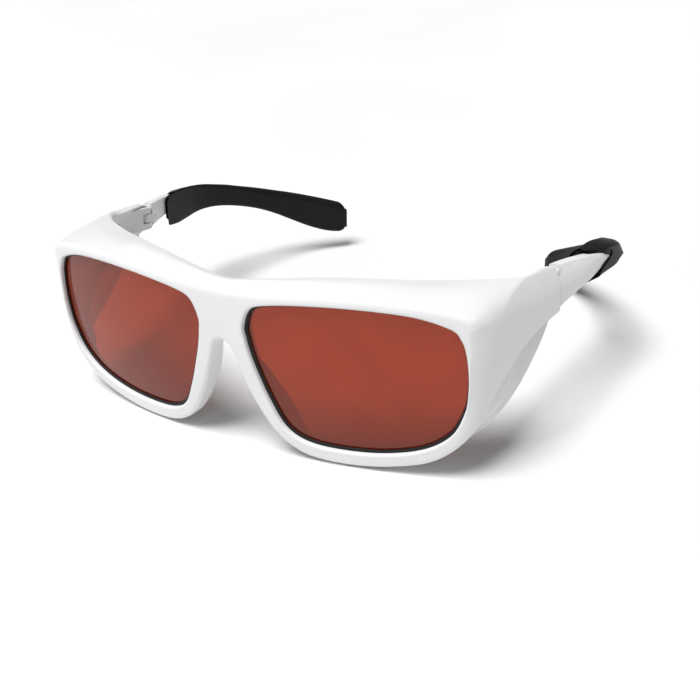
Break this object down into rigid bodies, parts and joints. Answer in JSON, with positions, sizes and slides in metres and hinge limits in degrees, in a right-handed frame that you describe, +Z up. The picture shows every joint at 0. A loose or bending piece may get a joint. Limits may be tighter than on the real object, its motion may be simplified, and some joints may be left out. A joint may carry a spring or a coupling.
{
  "type": "laser safety glasses",
  "caption": "Hooded wrap laser safety glasses with orange-red filter lenses, recessed side shields, folding arms and bendable soft tips.",
  "frame": {"origin": "bottom centre of the bounding box, on the table the glasses stand on", "axes": "+X to the wearer's left, +Y towards the back of the head, +Z up"},
  "size_m": [0.176, 0.1584, 0.0559],
  "materials": {
    "frame_white": "satin",
    "shield_white": "satin",
    "filter_lens": "clear tinted",
    "seal_black": "matte",
    "tip_black": "satin",
    "core_steel": "satin",
    "screw_steel": "satin",
    "insert_brass": "satin"
  },
  "bodies": {
    "front": {"front_frame": "frame_white", "lens_left": "filter_lens", "lens_right": "filter_lens", "lens_seal_left": "seal_black", "lens_seal_right": "seal_black", "side_shield_left": "shield_white", "side_shield_right": "shield_white", "hinge_screw_left": "screw_steel", "hinge_screw_right": "screw_steel", "hinge_insert_left": "insert_brass", "hinge_insert_right": "insert_brass"},
    "arm_left": {"temple_left": "frame_white", "tip_left": "tip_black", "tip_core_left": "core_steel"},
    "arm_right": {"temple_right": "frame_white", "tip_right": "tip_black", "tip_core_right": "core_steel"}
  },
  "joints": [
    {"name": "fold_left", "type": "hinge", "parent": "front", "child": "arm_left", "pos_m": [0.0773, -0.01841, 0.0427], "axis": [0, 0.1102, 0.9939], "range_deg": [0, 90]},
    {"name": "fold_right", "type": "hinge", "parent": "front", "child": "arm_right", "pos_m": [-0.0773, -0.01841, 0.0427], "axis": [0, -0.1102, -0.9939], "range_deg": [0, 70]}
  ]
}
